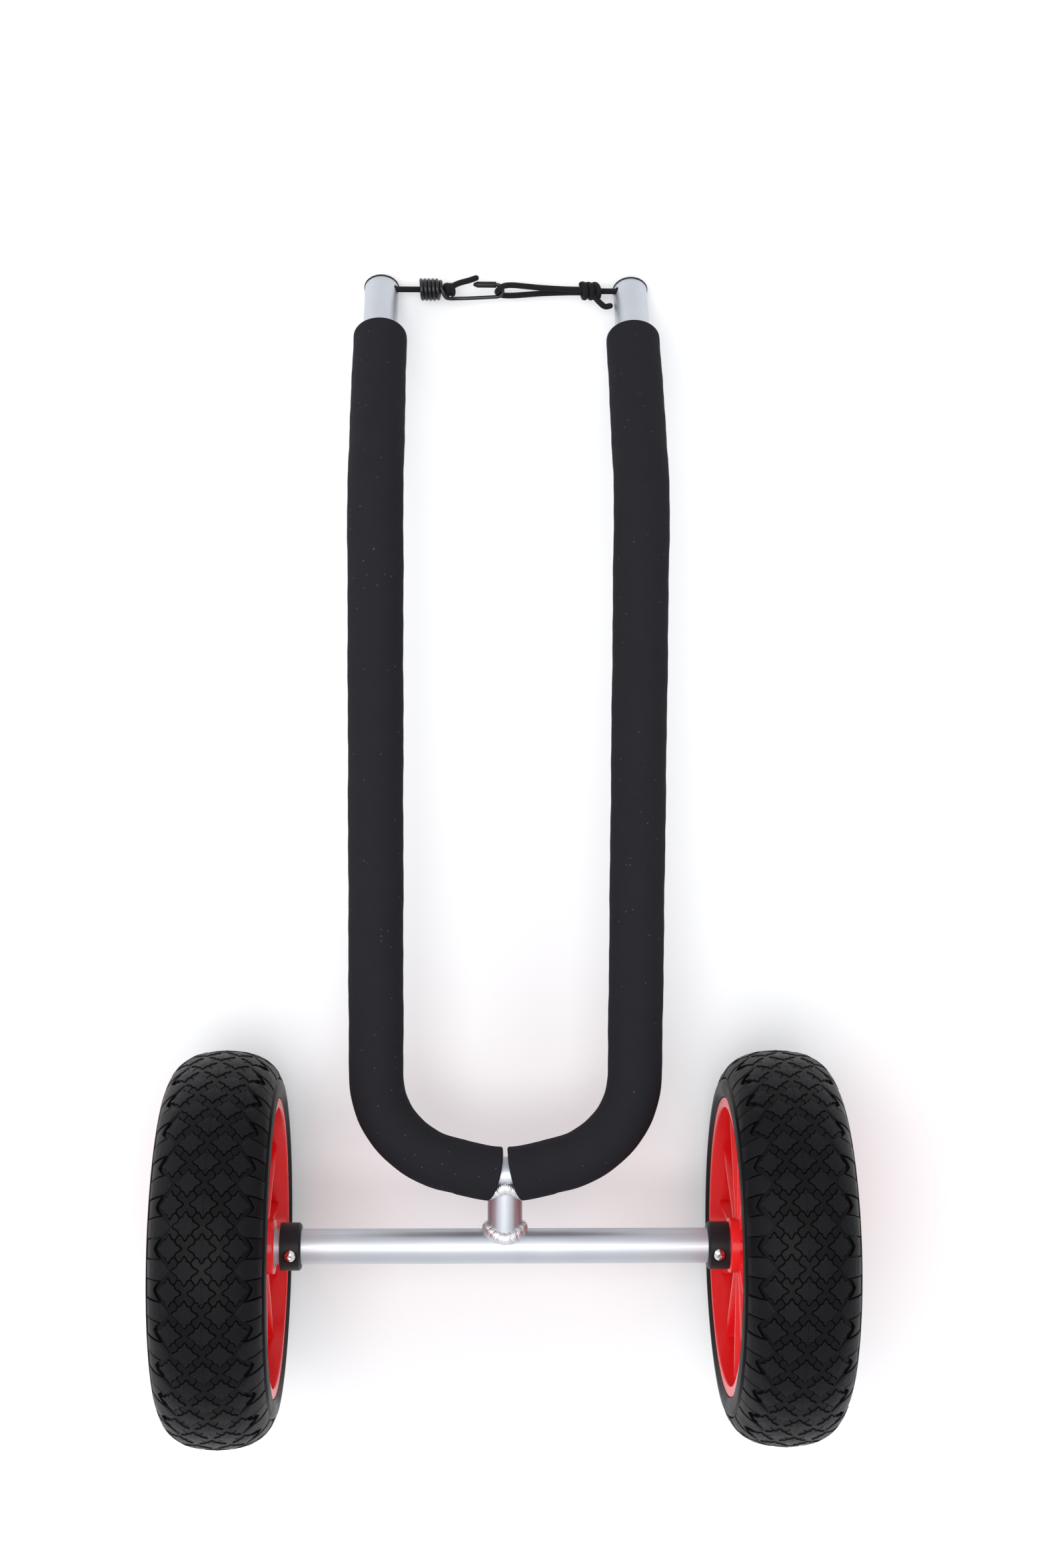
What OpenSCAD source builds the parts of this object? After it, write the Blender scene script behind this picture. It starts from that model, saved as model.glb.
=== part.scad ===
// Two-wheeled beach cart for a paddle board. A padded U-shaped cradle stands on a short post that is
// welded to the axle. It rests on its two wheels and on the bent-down tips of the cradle's arms.
// Frame: +X along the axle, +Y along the arms towards the tips, +Z up from the floor, in millimetres.

/* [Tubes] */
// Outer diameter of the frame tubing
tube_d = 25; // [22:0.5:32]
// Wall of the frame tubing
tube_wall = 1.8; // [1.2:0.1:2.5]
// Length of the axle tube
axle_len = 504; // [496:1:540]
// Distance from the axle's centreline to the lowest point of the cradle's centreline
post_rise = 53; // [50:1:75]

/* [Cradle] */
// Distance between the centrelines of the two arms
arm_spacing = 185; // [160:1:240]
// Centreline radius of the two lower corners
corner_r = 68; // [55:1:90]
// Slope of the cradle's bottom, rising from the middle to each side
v_angle = 13.8; // [0:0.2:18]
// Centreline radius of the shallow bend in the middle of the bottom
v_r = 80; // [70:1:120]
// Distance from the axle to the corner point of the arms' bend
bend_y = 542; // [400:1:660]
// Angle that the arm tips are bent down by
bend_angle = 41; // [34:1:50]
// Centreline radius of that bend
bend_r = 75; // [50:1:100]

/* [Foam sleeves] */
// Outer diameter of the foam
foam_d = 39; // [34:1:50]
// Bare length of tube between the end of the foam and the end plug
bare_tip = 50; // [30:1:60]
// Gap between the two sleeves over the post, at the top and at the bottom
foam_gap = [3, 26];

/* [Wheels] */
// Outer diameter of the tyres
wheel_d = 280; // [230:1:340]
// Width of the tyres
tyre_w = 80; // [60:1:90]
// Radius of the rim's outside, which the tyre sits on
rim_r = 103; // [80:1:104]
// Wall of the rim's barrel
rim_wall = 5; // [3:0.5:7]
// Height of the rim's lips above its barrel
lip_h = 3; // [2:0.5:5]
// Length of the hub's boss
boss_len = 73; // [60:1:74]
// Radius of the hub's boss
boss_r = 19.5; // [18.5:0.5:26]
// Number of gusset ribs on each side of the web
rib_count = 12; // [5:1:16]
// Thickness of the ribs and of the web
rib_t = 4; // [3:0.5:6]
// End play of each wheel beside its stop collar, left and right
wheel_play = [4, 0.5];

/* [Stops and pins] */
// Distance from the middle of the axle to the inboard face of each stop collar
collar_x = 146; // [120:1:146]
// Width of a stop collar
collar_w = 15; // [10:1:15]
// Outer diameter of a stop collar
collar_d = 34; // [31:1:44]
// Diameter of the screw thread in a stop collar
screw_d = 5; // [4:0.5:6]
// Diameter of the lock pins at the axle's ends
pin_d = 5; // [4:0.5:6]
// Distance from an axle end to the middle of its lock pin
pin_inset = 5.5; // [5:0.5:7]

/* [Bungee] */
// Diameter of the elastic cord
cord_d = 4.3; // [3.5:0.1:5]
// Diameter of the hook's wire
hook_wire_d = 2.8; // [2.5:0.1:3.5]
// Outer diameter of the sleeve on the hook's tip
hook_tip_d = 4.6; // [4.2:0.1:5]
// Distance from a tube's end to the middle of its cord hole
cord_hole_inset = 6; // [6:0.2:8]

/* [Hidden] */
$fn = 64;

LEFT = -1;
RIGHT = 1;

// Clearances
run_fit = 0.05;      // radial, between an axle and its bush
press_fit = 0.02;    // radial, between two parts pressed together
cope_fit = 0.1;      // between a tube and the end of another that is coped to it
slide_fit = 0.1;     // radial, between a pin or a screw and its hole
foam_fit = 0.1;      // radial, between the foam and its tube

// Tubes
tube_r = tube_d / 2;
bore_r = tube_r - tube_wall;
foam_r = foam_d / 2;
arm_x = arm_spacing / 2;
wheel_r = wheel_d / 2;

band_w = 1;
band_rise = 0.25;

// End plugs: a domed head over the tube's end and a hollow skirt inside it
plug_rim_r = tube_r + 0.5;
plug_rim_t = 1;
plug_dome = 2;
plug_skirt_wall = 1.5;
plug_skirt_len = 13;

// The tips are as long as it takes for the rims of their plugs to rest on the floor
tip_len = (wheel_r - plug_rim_r * cos(bend_angle)) / sin(bend_angle) - plug_rim_t;
bend_tangent = bend_r * tan(bend_angle / 2);

// The cradle's bottom: the shallow middle arc, a straight and the corner arc
v_end = [v_r * sin(v_angle), post_rise + v_r * (1 - cos(v_angle))];
corner_x = arm_x - corner_r;
corner_start_x = corner_x + corner_r * sin(v_angle);
slope_len = (corner_start_x - v_end[0]) / cos(v_angle);
corner_y = v_end[1] + slope_len * sin(v_angle) + corner_r * cos(v_angle);
arm_len = bend_y - bend_tangent - corner_y;

// Middle of the cart between the back of the tyres and the front of the plugs
tip_front_y = bend_y + (tip_len + plug_rim_t) * cos(bend_angle) + plug_rim_r * sin(bend_angle);
mid_y = (tip_front_y - wheel_r) / 2;

// Wheels
rim_bore_r = rim_r - rim_wall;
lip_t = 2.5;
lip_x = tyre_w / 2 - 2;
lip_r = rim_r + lip_h;
bead_x = lip_x - lip_t - 0.1;
crown_h = min(30, wheel_r - lip_r - 4);
crown_power = 2.36;
rib_edge_x = boss_len / 2 - 6.5;
boss_chamfer = 1.2;
bush_wall = 2.5;
bush_r = tube_r + run_fit + bush_wall;
bush_len = 22;
bush_recess = 0.5;

// Stops, washers and pins
collar_chamfer = 1.5;
screw_turn = 7;
screw_head_r = 4.75;
screw_head_h = 2.75;
screw_seat = 1.2;
socket_af = 3;
socket_depth = 1.7;
pin_x = axle_len / 2 - pin_inset;
washer_t = 1.5;
washer_r = 17.5;
pin_tail = 3.5;
pin_head_r = 6;
pin_head_h = 8;
pin_head_y = washer_r + 2.5;

// Cord line: it crosses between the two tips through a hole in the inner side of each, which lies
// nearer to the tip's upper side
cord_r = cord_d / 2;
cord_hole_r = cord_r + 0.9;
cord_hole_rise = 5;
cord_at = [0, bend_y + (tip_len - cord_hole_inset) * cos(bend_angle) + cord_hole_rise * sin(bend_angle),
           -(tip_len - cord_hole_inset) * sin(bend_angle) + cord_hole_rise * cos(bend_angle)];
knot_r = 4;

// Routes along the cord line, from its middle: x to the right, y towards the tips, z up
left_route = [[-90, 0, 0], [-78, 0, 0], [-68, 0, 0], [-57, 0, 0], [-47, 0, 0]];
left_tail_route = [[-39, 3, 1], [-34, 5, 2], [-28, 6.5, 3], [-22.5, 8.4, 3]];
right_route = [[90, 0, 0], [79, 0, 0], [70, 0, 0]];
right_tail_route = [[66, -5, 3], [69, -8.5, 4], [73, -11.5, 4], [77, -11, 3.5]];
loop_route = [
    [57, 0.8, 2.1], [46, 0.9, 2.1], [34, 1.4, 2.0], [24, 1.9, 2.6], [14, 2.6, 4.0], [5, 3.2, 4.9],
    [-1, 2.8, 5.0], [-4.6, 1.2, 4.6], [-6.2, -0.4, 2.6], [-6.7, -1.0, 0], [-6.2, -1.6, -2.6],
    [-4.6, -2.6, -4.6], [-1, -3.2, -5.0], [5, -3.2, -4.9], [14, -2.6, -4.0], [24, -1.9, -2.6],
    [34, -1.4, -2.0], [46, -0.9, -2.1], [57, -0.8, -2.1]];

// Knots: ends of their capsules along the cord line
stopper_x = [-47, -37.8];
loop_knot_x = [54.5, 70];
stopper_r = 4.6;
loop_knot_r = 6.6;

// Hook: a coil round the cord, a shank, a round bend and a tip that points back at the coil
wire_r = hook_wire_d / 2;
coil_x = [-63.3, -48.1];
coil_r = 6.9;
coil_end_r = 5.6;
coil_turns = 5.25;
coil_steps = 12;
hook_bend_r = 4.4;
hook_bend_at = [-7.1, -0.4];
hook_wire_end = -20;
hook_tip_end = -24.5;
hook_tip_point = 3.5;
tip_y = hook_bend_at[1] + hook_bend_r;
shank_route = [[-45.2, -5.6, 4.4], [-42.5, -6.6, 2.0], [-37, -6.4, 0.4], [-27, -6.0, 0],
               [-17, -5.4, 0]];

// Post: it is cut square at each end, and a fat bead fills the gap to the round tube beside it
post_cut = 8;           // from a tube's centreline to the post's square end
cope_turn = 14;         // half angle of the arc that the upper cope sweeps
weld_r = 3.8;
weld_ring_r = tube_r + 0.5;
weld_side = tube_r + 1.5;
axle_weld_dip = 4.5;    // how much nearer to the tube the bead lies at the front than at the sides
cradle_weld_dip = 7;
weld_steps = 32;
weld_gap = 0.4;         // between the beads and the foam

// Funnel-shaped gap between the two foam sleeves
gap_margin = 3;

// ---- Sweeps ----

function unit(v) = v / norm(v);
function square_to(v, t) = unit(v - (v * t) * t);

// Direction of travel at each point of an open or a closed path
function headings(path, closed) = let (n = len(path))
    [for (i = [0 : n - 1])
        closed ? unit(path[(i + 1) % n] - path[(i + n - 1) % n])
               : unit(path[min(i + 1, n - 1)] - path[max(i - 1, 0)])];

// A side vector for each heading, carried along without twisting
function carried(heads, first) =
    [for (i = 0, v = square_to(first, heads[0]); i < len(heads);
          i = i + 1, v = i < len(heads) ? square_to(v, heads[i]) : v) v];

// Round bar of radius r along a path; a closed path takes its side vectors from the given axis
module bar_along(path, r, sides, side_vector, closed = false) {
    n = len(path);
    heads = headings(path, closed);
    side = closed ? [for (h = heads) unit(cross(h, side_vector))] : carried(heads, side_vector);
    rings = closed ? n : n - 1;
    points = [for (i = [0 : n - 1], k = [0 : sides - 1]) let (a = 360 * k / sides)
        path[i] + r * (cos(a) * side[i] + sin(a) * cross(heads[i], side[i]))];
    walls = [for (i = [0 : rings - 1], k = [0 : sides - 1])
        let (j = (i + 1) % n, m = (k + 1) % sides)
        each [[i * sides + k, j * sides + k, j * sides + m], [i * sides + k, j * sides + m, i * sides + m]]];
    caps = closed ? [] : [[for (k = [0 : sides - 1]) k],
                          [for (k = [sides - 1 : -1 : 0]) (n - 1) * sides + k]];
    polyhedron(points, concat(walls, caps), convexity = 8);
}

// ---- Placing ----

// Puts what is drawn from the middle of the axle into the cart's frame
module from_axle() {
    translate([0, -mid_y, wheel_r]) children();
}

// Draws a right-hand piece, or its mirror image on the left
module on_side(side) {
    mirror([side == LEFT ? 1 : 0, 0, 0]) children();
}

// Turns what is drawn along Z so that it lies along +X
module along_x() {
    rotate([0, 90, 0]) children();
}

// Draws along a tip's centreline, at the given distance past the corner point of its bend
module on_tip(distance) {
    translate([arm_x, bend_y, 0]) rotate([-90 - bend_angle, 0, 0]) translate([0, 0, distance]) children();
}

// Places what is drawn from the middle of the cord line
module on_cord_line() {
    from_axle() translate(cord_at) children();
}

// ---- Frame ----

// Round bar of radius r along one half of the cradle's path, up to the given distance past the bend.
// A short band, slightly proud, covers each seam that lies at a slant, so that the lengths join there.
module cradle_half(r, tip_end) {
    // middle arc
    translate([0, post_rise + v_r, 0]) rotate_extrude(angle = v_angle, start = -90)
        translate([v_r, 0]) circle(r);
    // slope
    translate([v_end[0], v_end[1], 0]) rotate([0, 0, v_angle]) along_x() {
        cylinder(r = r, h = slope_len);
        for (seam = [0, slope_len]) translate([0, 0, seam]) seam_band(r);
    }
    // corner
    translate([corner_x, corner_y, 0]) rotate_extrude(angle = 90 - v_angle, start = v_angle - 90)
        translate([corner_r, 0]) circle(r);
    // arm
    translate([arm_x, corner_y, 0]) rotate([-90, 0, 0]) cylinder(r = r, h = arm_len);
    // bend
    translate([arm_x, corner_y + arm_len, -bend_r]) rotate([90, 0, 90])
        rotate_extrude(angle = bend_angle, start = 90 - bend_angle) translate([bend_r, 0]) circle(r);
    // tip
    on_tip(bend_tangent) cylinder(r = r, h = tip_end - bend_tangent);
    on_tip(bend_tangent) seam_band(r);
}

module seam_band(r) {
    cylinder(r = r + band_rise, h = band_w, center = true);
}

module cradle_bar(r, tip_end) {
    for (side = [LEFT, RIGHT]) on_side(side) cradle_half(r, tip_end);
}

// Hole for the cord through the inner wall of a tip
module cord_hole() {
    on_tip(tip_len - cord_hole_inset) translate([0, -cord_hole_rise, 0]) rotate([0, -90, 0])
        cylinder(r = cord_hole_r, h = tube_d);
}

module axle_tube() {
    color("gainsboro") from_axle() difference() {
        along_x() cylinder(r = tube_r, h = axle_len, center = true);
        along_x() cylinder(r = bore_r, h = axle_len + 2, center = true);
        for (side = [LEFT, RIGHT]) translate([side * pin_x, 0, 0]) rotate([90, 0, 0])
            cylinder(r = pin_d / 2 + slide_fit, h = tube_d + 2, center = true);
    }
}

module post_bar(r, extra) {
    translate([0, post_cut - extra, 0]) rotate([-90, 0, 0])
        cylinder(r = r, h = post_rise - 2 * post_cut + 2 * extra);
}

// Upright stub, coped to the tubes that it joins
module post_tube() {
    color("gainsboro") from_axle() difference() {
        post_bar(tube_r, 0);
        post_bar(bore_r, 1);
        along_x() cylinder(r = tube_r + cope_fit, h = 2 * tube_d, center = true);
        translate([0, post_rise + v_r, 0]) rotate_extrude(angle = 2 * cope_turn, start = -90 - cope_turn)
            translate([v_r, 0]) circle(tube_r + cope_fit);
    }
}

module cradle_tube() {
    color("gainsboro") from_axle() difference() {
        cradle_bar(tube_r, tip_len);
        cradle_bar(bore_r, tip_len + 1);
        for (side = [LEFT, RIGHT]) on_side(side) cord_hole();
    }
}

// Bead round the post where it meets a crossing tube, whose centreline is at the distance base from
// the axle; dir says which way the post leaves that tube
module saddle_bead(base, dir, dip) {
    path = [for (i = [0 : weld_steps - 1]) let (a = 360 * i / weld_steps)
        [weld_ring_r * cos(a), base + dir * (weld_side - dip * sin(a) * sin(a)), weld_ring_r * sin(a)]];
    bar_along(path, weld_r, 8, [0, 1, 0], closed = true);
}

module axle_weld() {
    color("silver") from_axle() saddle_bead(0, 1, axle_weld_dip);
}

module cradle_weld() {
    color("silver") from_axle() saddle_bead(post_rise, -1, cradle_weld_dip);
}

// Foam sleeve of one half, cut away round the post and its weld
module foam(side) {
    color("#26282b") from_axle() on_side(side) difference() {
        cradle_half(foam_r, tip_len - bare_tip);
        cradle_half(tube_r + foam_fit, tip_len);
        translate([0, post_rise, 0]) linear_extrude(2 * foam_d, center = true)
            polygon([[-1, foam_r + gap_margin], [foam_gap[0] / 2, foam_r + gap_margin],
                     [foam_gap[0] / 2, foam_r], [foam_gap[1] / 2, -foam_r],
                     [foam_gap[1] / 2, -foam_r - gap_margin], [-1, -foam_r - gap_margin]]);
        rotate([-90, 0, 0]) cylinder(r = weld_ring_r + weld_r + weld_gap, h = post_rise);
    }
}

module tip_plug(side) {
    skirt_r = bore_r - press_fit;
    color("#1c1c1e") from_axle() on_side(side) difference() {
        on_tip(tip_len) rotate_extrude() polygon(concat(
            [[0, 0], [skirt_r - plug_skirt_wall, 0], [skirt_r - plug_skirt_wall, -plug_skirt_len],
             [skirt_r, -plug_skirt_len], [skirt_r, 0], [plug_rim_r, 0], [plug_rim_r, plug_rim_t]],
            [for (a = [15 : 15 : 90]) [plug_rim_r * cos(a), plug_rim_t + plug_dome * sin(a)]]));
        cord_hole();
    }
}

// ---- Stop collars ----

module collar_screw_place() {
    translate([collar_x + collar_w / 2, 0, 0]) rotate([screw_turn, 0, 0])
        translate([0, 0, collar_d / 2 - screw_seat]) children();
}

module collar(side) {
    half = collar_d / 2;
    color("#202022") from_axle() on_side(side) difference() {
        translate([collar_x, 0, 0]) along_x() rotate_extrude() polygon([
            [tube_r + press_fit, 0], [half - collar_chamfer, 0], [half, collar_chamfer],
            [half, collar_w], [tube_r + press_fit, collar_w]]);
        collar_screw_place() cylinder(r = screw_head_r + 0.3, h = collar_d);
        collar_screw_place() translate([0, 0, -half]) cylinder(r = screw_d / 2 + slide_fit, h = half + 1);
    }
}

// Button-head screw with a hexagon socket; its end bears on the axle
module collar_screw(side) {
    grip = collar_d / 2 - screw_seat - tube_r - 0.1;
    crown_r = (screw_head_r * screw_head_r + screw_head_h * screw_head_h) / (2 * screw_head_h);
    color("#c8cacc") from_axle() on_side(side) collar_screw_place() difference() {
        union() {
            translate([0, 0, -grip]) cylinder(r = screw_d / 2, h = grip + 1);
            intersection() {
                cylinder(r = screw_head_r, h = screw_head_h);
                translate([0, 0, screw_head_h - crown_r]) sphere(crown_r);
            }
        }
        translate([0, 0, screw_head_h - socket_depth])
            cylinder(r = socket_af / (2 * cos(30)), h = socket_depth + 1, $fn = 6);
    }
}

// ---- Wheels ----

function wheel_x(side) =
    collar_x + collar_w + boss_len / 2 + (side == LEFT ? wheel_play[0] : wheel_play[1]);

// Draws a wheel piece about the middle of its hub, with +X outboard
module on_wheel(side) {
    from_axle() on_side(side) translate([wheel_x(side), 0, 0]) children();
}

module tyre(side) {
    wide_r = wheel_r - crown_h;
    crown = [for (a = [0 : 7.5 : 180])
        [wide_r + crown_h * pow(sin(a), 2 / crown_power),
         -sign(cos(a)) * tyre_w / 2 * pow(abs(cos(a)), 2 / crown_power)]];
    color("#242527") on_wheel(side) along_x() rotate_extrude($fn = 128) polygon(concat(
        [[rim_r, -bead_x], [lip_r + 0.3, -bead_x], [lip_r + 0.3, -lip_x]], crown,
        [[lip_r + 0.3, lip_x], [lip_r + 0.3, bead_x], [rim_r, bead_x]]));
}

// One wheel hub: rim barrel with two lips, web, ribs and a boss bored for its two bushes
module hub(side) {
    barrel_r = rim_r - press_fit;
    half = boss_len / 2;
    color("#d3191c") on_wheel(side) difference() {
        union() {
            along_x() rotate_extrude($fn = 128) polygon([
                [rim_bore_r, -lip_x], [lip_r, -lip_x], [lip_r, lip_t - lip_x], [barrel_r, lip_t - lip_x],
                [barrel_r, lip_x - lip_t], [lip_r, lip_x - lip_t], [lip_r, lip_x], [rim_bore_r, lip_x],
                [rim_bore_r, rib_t / 2], [boss_r, rib_t / 2], [boss_r, half - boss_chamfer],
                [boss_r - boss_chamfer, half], [tube_r, half], [tube_r, -half],
                [boss_r - boss_chamfer, -half], [boss_r, boss_chamfer - half], [boss_r, -rib_t / 2],
                [rim_bore_r, -rib_t / 2]]);
            for (i = [0 : rib_count - 1]) rotate([360 * i / rib_count, 0, 0])
                translate([-rib_edge_x, boss_r - 1, -rib_t / 2])
                    cube([2 * rib_edge_x, rim_bore_r - boss_r + 2, rib_t]);
        }
        along_x() cylinder(r = tube_r + 0.8, h = boss_len + 2, center = true);
        for (end = [-1, 1]) translate([end * (half - bush_len / 2), 0, 0]) along_x()
            cylinder(r = bush_r + press_fit, h = bush_len + 2, center = true);
    }
}

module bush(side, end) {
    color("#e8e6df") on_wheel(side) translate([end * (boss_len / 2 - bush_len / 2 - bush_recess), 0, 0])
        along_x() difference() {
            cylinder(r = bush_r, h = bush_len, center = true);
            cylinder(r = tube_r + run_fit, h = bush_len + 2, center = true);
        }
}

module washer(side) {
    color("#c8cacc") from_axle() on_side(side) translate([pin_x - pin_d / 2 - washer_t - 0.5, 0, 0])
        along_x() difference() {
            cylinder(r = washer_r, h = washer_t);
            translate([0, 0, -1]) cylinder(r = tube_r + 0.2, h = washer_t + 2);
        }
}

// Detent pin across the axle's end, with a round grip on the side away from the cradle
module lock_pin(side) {
    reach = tube_r + pin_tail;
    color("#b9bbbe") from_axle() on_side(side) translate([pin_x, 0, 0]) rotate([90, 0, 0])
        rotate_extrude() polygon([
            [0, -reach - 1], [pin_d / 2 - 1, -reach - 1], [pin_d / 2, -reach],
            [pin_d / 2, pin_head_y], [pin_head_r - 1, pin_head_y], [pin_head_r, pin_head_y + 1],
            [pin_head_r, pin_head_y + pin_head_h - 1.5], [pin_head_r - 1.5, pin_head_y + pin_head_h],
            [0, pin_head_y + pin_head_h]]);
}

// ---- Bungee ----

// Plain round-ended body of a knot, from x[0] to x[1] along the cord line
module knot(x, r) {
    long = x[1] - x[0] - 2 * r;
    on_cord_line() translate([x[0] + r, 0, 0]) {
        sphere(r);
        if (long > 1) {
            along_x() cylinder(r = r, h = long);
            translate([long, 0, 0]) sphere(r);
        }
    }
}

module cord(route) {
    color("#1b1b1d") on_cord_line() bar_along(route, cord_r, 8, [0, 0.2, 1]);
}

module anchor_knot(side) {
    color("#1b1b1d") on_side(side) knot([arm_x - knot_r, arm_x + knot_r], knot_r);
}

module hook_wire() {
    coil = [for (i = [0 : coil_turns * coil_steps])
        let (part = i / (coil_turns * coil_steps), a = 360 * i / coil_steps,
             squeeze = max(0, part * coil_turns - (coil_turns - 1)),
             r = coil_r - (coil_r - coil_end_r) * squeeze)
        [coil_x[0] + (coil_x[1] - coil_x[0]) * part, r * cos(a), r * sin(a)]];
    bend = [for (a = [-90 : 22.5 : 90])
        [hook_bend_at[0] + hook_bend_r * cos(a), hook_bend_at[1] + hook_bend_r * sin(a), 0]];
    color("#2a2b2d") on_cord_line()
        bar_along(concat(coil, shank_route, bend, [[hook_wire_end, tip_y, 0]]), wire_r, 10, [1, 0, 0]);
}

// Plastic sleeve on the end of the hook's wire
module hook_tip() {
    r = hook_tip_d / 2;
    color("#141415") on_cord_line() translate([hook_bend_at[0] - 0.4, tip_y, 0]) rotate([0, -90, 0])
        difference() {
            rotate_extrude() polygon([
                [0, 0], [r, 0], [r, hook_bend_at[0] - hook_tip_end - hook_tip_point],
                [1, hook_bend_at[0] - hook_tip_end], [0, hook_bend_at[0] - hook_tip_end]]);
            translate([0, 0, -1]) cylinder(r = wire_r + slide_fit, h = hook_bend_at[0] - hook_wire_end + 1);
        }
}

axle_tube();
post_tube();
cradle_tube();
axle_weld();
cradle_weld();
foam(LEFT);  // foam_left
foam(RIGHT);  // foam_right
tip_plug(LEFT);  // tip_plug_left
tip_plug(RIGHT);  // tip_plug_right
collar(LEFT);  // collar_left
collar(RIGHT);  // collar_right
collar_screw(LEFT);  // collar_screw_left
collar_screw(RIGHT);  // collar_screw_right
tyre(LEFT);  // tyre_left
tyre(RIGHT);  // tyre_right
hub(LEFT);  // hub_left
hub(RIGHT);  // hub_right
bush(LEFT, -1);  // bush_left_inner
bush(LEFT, 1);  // bush_left_outer
bush(RIGHT, -1);  // bush_right_inner
bush(RIGHT, 1);  // bush_right_outer
washer(LEFT);  // washer_left
washer(RIGHT);  // washer_right
lock_pin(LEFT);  // lock_pin_left
lock_pin(RIGHT);  // lock_pin_right
anchor_knot(LEFT);  // anchor_knot_left
cord(left_route);  // cord_left
color("#1b1b1d") knot(stopper_x, stopper_r);  // stopper_knot
cord(left_tail_route);  // cord_left_tail
hook_wire();
hook_tip();
anchor_knot(RIGHT);  // anchor_knot_right
cord(right_route);  // cord_right
color("#1b1b1d") knot(loop_knot_x, loop_knot_r);  // loop_knot
cord(loop_route);  // cord_loop
cord(right_tail_route);  // cord_right_tail
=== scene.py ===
"""Beach cart: a foam-padded cradle on two treaded wheels, with a hooked elastic cord across its tips.

Sizes below are in millimetres and places in metres, in the cart's own frame: +X along the axle,
+Y along the arms to the tips, +Z up from the floor.
"""
import math

import bmesh
import bpy
import numpy as np
from mathutils import Matrix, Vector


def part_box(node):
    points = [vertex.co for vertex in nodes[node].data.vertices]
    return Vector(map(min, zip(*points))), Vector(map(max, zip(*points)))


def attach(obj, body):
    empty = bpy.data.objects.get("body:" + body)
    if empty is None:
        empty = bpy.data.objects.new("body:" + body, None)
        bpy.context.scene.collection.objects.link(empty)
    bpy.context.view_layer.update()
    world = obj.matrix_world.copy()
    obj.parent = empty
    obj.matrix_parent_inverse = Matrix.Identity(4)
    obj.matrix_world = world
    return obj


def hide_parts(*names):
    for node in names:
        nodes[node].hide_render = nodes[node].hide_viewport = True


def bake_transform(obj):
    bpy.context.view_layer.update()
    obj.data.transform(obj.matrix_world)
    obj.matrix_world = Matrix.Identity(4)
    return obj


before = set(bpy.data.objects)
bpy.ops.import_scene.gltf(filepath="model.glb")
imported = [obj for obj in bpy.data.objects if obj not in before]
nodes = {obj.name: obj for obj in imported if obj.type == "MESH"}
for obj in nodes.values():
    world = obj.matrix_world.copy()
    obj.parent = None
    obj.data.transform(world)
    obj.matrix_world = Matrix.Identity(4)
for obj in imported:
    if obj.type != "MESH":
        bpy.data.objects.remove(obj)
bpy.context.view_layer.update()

MM = 0.001


def centre_of(node):
    low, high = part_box(node)
    return np.array((low + high) / 2)


# Places that the frame gives
AXLE = centre_of("axle_tube")
CORD_LINE = centre_of("anchor_knot_left") * (0, 1, 1)
SIDES = {"left": -1, "right": 1}

# Cradle tube, from the axle's centreline, in millimetres
POST_RISE = 53
SHALLOW_R = 80
SLOPE = math.radians(13.8)
ARM_X = 92.5
CORNER_R = 68
BEND_Y = 542
BEND_ANGLE = math.radians(41)
BEND_R = 75
TUBE_R = 12.5
PLUG_RIM_R = 13
PLUG_RIM = 1

# Weld beads
WELD_RING_R = 13
WELD_SIDE = 14
AXLE_WELD_DIP = 4.5
CRADLE_WELD_DIP = 7
WELD_BROAD = 4.2
WELD_THICK = 3.2
RIPPLE = 4.5
FINE_RIPPLE = 1.1
WELD_STEPS = 720
WELD_SIDES = 28

# Foam sleeves
FOAM_R = 19.5
FOAM_BORE_R = 12.6
BARE_TIP = 50
FOAM_EDGE = 2.0
GAP_TOP = 1.5
GAP_BOTTOM = 11.8
GAP_BULGE = 1.7
FOAM_SIDES = 48
FOAM_EDGE_RINGS = 6
GAP_RINGS = 7
SQUARE_FROM = 34.0      # along the tube, past the slanted ends beside the post
SKIN_STEP = 3.0
BORE_STEP = 6.0

# Tyres
TYRE_R = 140
TYRE_HALF = 40
CROWN_START_R = 110
CROWN_POWER = 2.36
PITCHES = 30
COLUMN = 11.5
TREAD_DEPTH = 2.5
DIAMOND = (11.83, 11.69)
DIAMOND_POWER = 0.75
DIAMOND_SOFTNESS = 0.015
WAIST = 0.15
DIAMOND_POINTS = 36
DIAMOND_H = 2.2
CROSS_H = 1.5
GROOVE = 1.1
BLOCK_DRAFT = 0.3
BLOCK_ROOT = 0.4
SHOULDER_END = 46
SHOULDER_CURVE = 1.35

# Hubs
LIP_X = 38
LIP_R = 106
LIP_T = 2.5
SEAT_R = 103
BARREL_R = 98
BOSS_R = 19.5
BOSS_HALF = 36.5
BUSH_R = 15.07
WEB_HALF = 2
RIB_COUNT = 12
RIB_EDGE = 30

# Elastic cord and hook
CORD_R = 2.15
CORD_STEP = 0.8
CORD_SIDES = 20
WIRE_R = 1.4

# Angles of the rings that round off the ends of a swept bar
END_ROUNDING = np.radians([25, 50, 75])


# ---- Lines, sweeps and turned shapes ----

def resampled(line, step):
    """The same line with evenly spaced points."""
    gaps = np.linalg.norm(np.diff(line, axis=0), axis=1)
    along = np.concatenate([[0], np.cumsum(gaps)])
    at = np.linspace(0, along[-1], max(2, round(along[-1] / step) + 1))
    return np.column_stack([np.interp(at, along, line[:, k]) for k in range(3)])


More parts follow.
